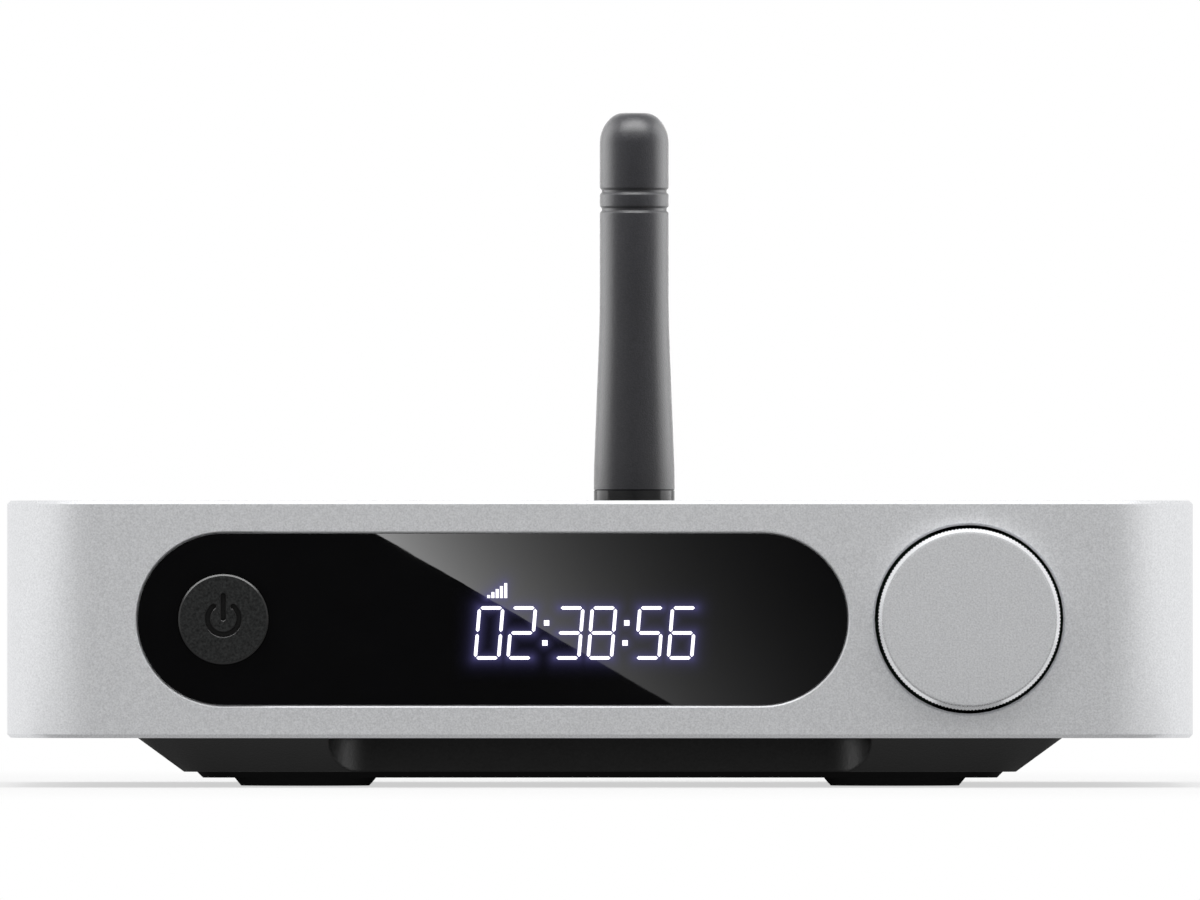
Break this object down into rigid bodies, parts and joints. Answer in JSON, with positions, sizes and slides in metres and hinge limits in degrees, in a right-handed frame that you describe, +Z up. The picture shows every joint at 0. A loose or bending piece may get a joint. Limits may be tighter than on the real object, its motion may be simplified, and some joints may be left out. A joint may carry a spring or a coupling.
{
  "type": "network music streamer",
  "caption": "Desktop network music streamer: bead-blasted aluminium case on a black base, smoked display window, push button, turn-and-push volume knob and hinged rear antenna.",
  "frame": {"origin": "on the table, at the middle of the whole part's footprint", "axes": "+X right seen from the front, +Y to the rear where the jacks are, +Z up"},
  "size_m": [0.12, 0.1228, 0.0693],
  "materials": {
    "shell_aluminium": "bead-blasted, clear anodised",
    "knob_aluminium": "bead-blasted face, fine knurl",
    "base_plastic": "fine texture",
    "sole_plastic": "smooth",
    "foot_rubber": "soft",
    "screw_steel": "blackened",
    "panel_plastic": "fine texture",
    "window_acrylic": "smoked, glossy",
    "tape_foam": "thin adhesive foam",
    "display_glass": "negative display",
    "light_guide": "clear",
    "holder_plastic": "plain",
    "board_laminate": "solder mask",
    "button_plastic": "fine texture",
    "switch_plastic": "plain",
    "plunger_plastic": "plain",
    "encoder_plastic": "plain",
    "bushing_steel": "plated",
    "rotor_plastic": "plain",
    "shaft_steel": "plain",
    "ribbon_film": "film",
    "socket_plastic": "plain",
    "module_laminate": "solder mask",
    "shield_steel": "tinned",
    "chip_epoxy": "moulded",
    "spreader_aluminium": "black anodised",
    "capacitor_can": "sleeved",
    "jack_steel": "tinned",
    "jack_plastic": "plain",
    "contact_gold": "gold plated",
    "tongue_plastic": "plain",
    "optical_plastic": "plain",
    "line_gold": "gold plated",
    "line_white": "plain",
    "line_red": "plain",
    "socket_gold": "gold plated",
    "lead_plastic": "plain",
    "antenna_plastic": "satin",
    "sleeve_plastic": "fine texture",
    "radiator_copper": "plain"
  },
  "bodies": {
    "case": {"shell": "shell_aluminium", "base_tray": "base_plastic", "sole_plate": "sole_plastic", "foot_front_left": "foot_rubber", "foot_front_right": "foot_rubber", "foot_rear_left": "foot_rubber", "foot_rear_right": "foot_rubber", "base_screws": "screw_steel", "rear_panel": "panel_plastic", "line_out_panel": "panel_plastic", "display_window": "window_acrylic", "window_tape": "tape_foam", "lcd_glass": "display_glass", "lcd_backlight": "light_guide", "lcd_holder": "holder_plastic", "front_board": "board_laminate", "main_board": "board_laminate", "board_screws": "screw_steel", "power_switch": "switch_plastic", "encoder_housing": "encoder_plastic", "encoder_bushing": "bushing_steel", "ribbon_cable": "ribbon_film", "ribbon_socket_front": "socket_plastic", "ribbon_socket_main": "socket_plastic", "wireless_board": "module_laminate", "wireless_shield": "shield_steel", "processor": "chip_epoxy", "heat_spreader": "spreader_aluminium", "converter_chip": "chip_epoxy", "filter_capacitors": "capacitor_can", "lan_shield": "jack_steel", "lan_insert": "jack_plastic", "lan_contacts": "contact_gold", "host_port_shell": "jack_steel", "host_port_tongue": "tongue_plastic", "power_inlet_shell": "jack_steel", "power_inlet_tongue": "jack_plastic", "optical_housing": "optical_plastic", "optical_emitter": "chip_epoxy", "line_out_block": "jack_plastic", "line_out_barrel_left": "line_gold", "line_out_barrel_right": "line_gold", "line_out_insert_left": "line_white", "line_out_insert_right": "line_red", "line_out_contacts": "contact_gold", "antenna_socket": "socket_gold", "antenna_socket_nut": "socket_gold", "antenna_lead": "lead_plastic", "antenna_nut": "antenna_plastic"},
    "power_button": {"power_button": "button_plastic", "switch_plunger": "plunger_plastic"},
    "encoder_rotor": {"encoder_rotor": "rotor_plastic"},
    "knob": {"knob": "knob_aluminium", "encoder_shaft": "shaft_steel"},
    "antenna_elbow": {"antenna_elbow": "antenna_plastic", "antenna_hinge_pin": "shaft_steel"},
    "antenna_mast": {"antenna_collar": "antenna_plastic", "antenna_sleeve": "sleeve_plastic", "antenna_radiator": "radiator_copper"},
    "optical_shutter": {"optical_shutter": "optical_plastic"}
  },
  "joints": [
    {"name": "power_press", "type": "slide", "parent": "case", "child": "power_button", "axis": [0, 1, 0], "range_m": [0, 0.0004], "stiffness_N_per_m": 4000},
    {"name": "knob_turn", "type": "hinge", "parent": "case", "child": "encoder_rotor", "pos_m": [0.03728, -0.0564, 0.01695], "axis": [0, 1, 0], "continuous": true},
    {"name": "knob_press", "type": "slide", "parent": "encoder_rotor", "child": "knob", "axis": [0, 1, 0], "range_m": [0, 0.0005], "stiffness_N_per_m": 8000},
    {"name": "antenna_swivel", "type": "hinge", "parent": "case", "child": "antenna_elbow", "pos_m": [0.00355, 0.0572, 0.018], "axis": [0, 1, 0], "range_deg": [-90, 90]},
    {"name": "antenna_tilt", "type": "hinge", "parent": "antenna_elbow", "child": "antenna_mast", "pos_m": [0.00355, 0.0572, 0.018], "axis": [-1, 0, 0], "range_deg": [0, 90]},
    {"name": "shutter_swing", "type": "hinge", "parent": "case", "child": "optical_shutter", "pos_m": [0.01568, 0.0372, 0.01915], "axis": [-1, 0, 0], "range_deg": [0, 85], "stiffness_Nm_per_rad": 0.0005}
  ]
}
